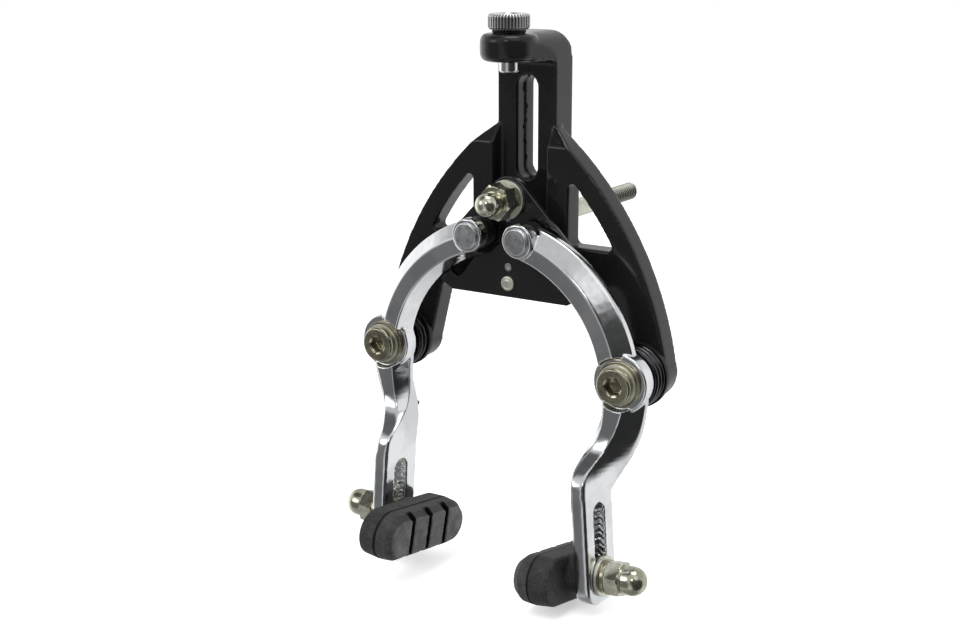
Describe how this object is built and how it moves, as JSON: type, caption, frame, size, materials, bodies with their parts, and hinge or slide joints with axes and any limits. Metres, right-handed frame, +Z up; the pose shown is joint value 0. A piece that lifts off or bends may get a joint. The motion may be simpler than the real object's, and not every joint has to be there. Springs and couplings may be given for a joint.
{
  "type": "bicycle centre-pull rim brake",
  "caption": "Cam-lifted centre-pull rim brake: a winged bracket on a fork bolt carries two cranked arms with rubber pads, spread by a sliding plate.",
  "frame": {"origin": "axis of the mounting bolt at the face that seats on the fork", "axes": "+X to the right seen from the front, +Y to the rear along the mounting bolt, +Z up"},
  "size_m": [0.1119, 0.1205, 0.1808],
  "materials": {
    "black_paint": "satin black paint on a die casting",
    "plate_black": "satin black coating on a pressed plate",
    "polished_alloy": "polished forged alloy",
    "bright_plate": "bright nickel plate",
    "bright_steel": "turned bright steel",
    "zinc_steel": "zinc plated steel with a slight yellow tint",
    "aged_zinc": "dull yellow zinc plate",
    "spring_wire": "black spring wire",
    "cup_black": "black coated steel",
    "roller_black": "gloss black acetal",
    "pad_rubber": "moulded matte black rubber",
    "ring_rubber": "soft black rubber"
  },
  "bodies": {
    "bracket": {"frame_casting": "black_paint", "mounting_bolt": "zinc_steel", "left_pivot_bolt": "aged_zinc", "left_pivot_washer": "zinc_steel", "left_pivot_bush": "aged_zinc", "left_spring": "spring_wire", "left_spring_cup": "cup_black", "right_pivot_bolt": "aged_zinc", "right_pivot_washer": "zinc_steel", "right_pivot_bush": "aged_zinc", "right_spring": "spring_wire", "right_spring_cup": "cup_black"},
    "adjuster_carrier": {"adjuster_ring": "ring_rubber"},
    "adjuster": {"barrel_adjuster": "bright_plate"},
    "lift": {"lift_plate": "plate_black", "plate_guide": "plate_black", "plate_rivet": "bright_steel", "anchor_bolt": "zinc_steel", "anchor_washer": "zinc_steel", "anchor_nut": "zinc_steel"},
    "left_swing": {"left_arm": "polished_alloy", "left_roller_pin": "bright_steel"},
    "right_swing": {"right_arm": "polished_alloy", "right_roller_pin": "bright_steel"},
    "left_follower": {"left_roller": "roller_black"},
    "right_follower": {"right_roller": "roller_black"},
    "left_clamp": {"left_pad_washer": "zinc_steel", "left_lock_washer": "aged_zinc", "left_pad_nut": "zinc_steel"},
    "right_clamp": {"right_pad_washer": "zinc_steel", "right_lock_washer": "aged_zinc", "right_pad_nut": "zinc_steel"},
    "left_shoe": {"left_pad": "pad_rubber", "left_pad_stud": "zinc_steel"},
    "right_shoe": {"right_pad": "pad_rubber", "right_pad_stud": "zinc_steel"}
  },
  "joints": [
    {"name": "left_arm_swing", "type": "hinge", "parent": "bracket", "child": "left_swing", "pos_m": [-0.0433, 0, -0.041], "axis": [0, -1, 0], "range_deg": [0, 12], "stiffness_Nm_per_rad": 0.35, "springref_deg": -28.65, "deforming": ["left_spring"]},
    {"name": "right_arm_swing", "type": "hinge", "parent": "bracket", "child": "right_swing", "pos_m": [0.0433, 0, -0.041], "axis": [0, 1, 0], "range_deg": [0, 12], "stiffness_Nm_per_rad": 0.35, "springref_deg": -28.65, "deforming": ["right_spring"]},
    {"name": "plate_lift", "type": "slide", "parent": "bracket", "child": "lift", "axis": [0, 0, 1], "range_m": [0, 0.01831]},
    {"name": "left_roller_spin", "type": "hinge", "parent": "left_swing", "child": "left_follower", "pos_m": [-0.009, 0, -0.0012], "axis": [0, 1, 0], "continuous": true},
    {"name": "right_roller_spin", "type": "hinge", "parent": "right_swing", "child": "right_follower", "pos_m": [0.009, 0, -0.0012], "axis": [0, 1, 0], "continuous": true},
    {"name": "adjuster_rise", "type": "slide", "parent": "bracket", "child": "adjuster_carrier", "axis": [0, 0, 1], "range_m": [0, 0.002]},
    {"name": "adjuster_turn", "type": "hinge", "parent": "adjuster_carrier", "child": "adjuster", "pos_m": [0, -0.0204, 0], "axis": [0, 0, -1], "range_deg": [0, 720]},
    {"name": "left_pad_height", "type": "slide", "parent": "left_swing", "child": "left_clamp", "axis": [0.0698, 0, 0.9976], "range_m": [-0.005, 0.0145]},
    {"name": "right_pad_height", "type": "slide", "parent": "right_swing", "child": "right_clamp", "axis": [-0.0698, 0, 0.9976], "range_m": [-0.0013, 0.0182]},
    {"name": "left_pad_angle", "type": "hinge", "parent": "left_clamp", "child": "left_shoe", "pos_m": [-0.0382, -0.032, -0.098], "axis": [0.9976, 0, -0.0698], "range_deg": [-20, 20]},
    {"name": "right_pad_angle", "type": "hinge", "parent": "right_clamp", "child": "right_shoe", "pos_m": [0.03846, -0.032, -0.10169], "axis": [0.9976, 0, 0.0698], "range_deg": [-20, 20]}
  ],
  "couplings": [
    {"joint": "right_arm_swing", "follows": "left_arm_swing", "ratio": 1},
    {"joint": "plate_lift", "follows": "left_arm_swing", "m_per_rad": 0.0872},
    {"joint": "adjuster_rise", "follows": "adjuster_turn", "m_per_rad": 0.00015915}
  ]
}
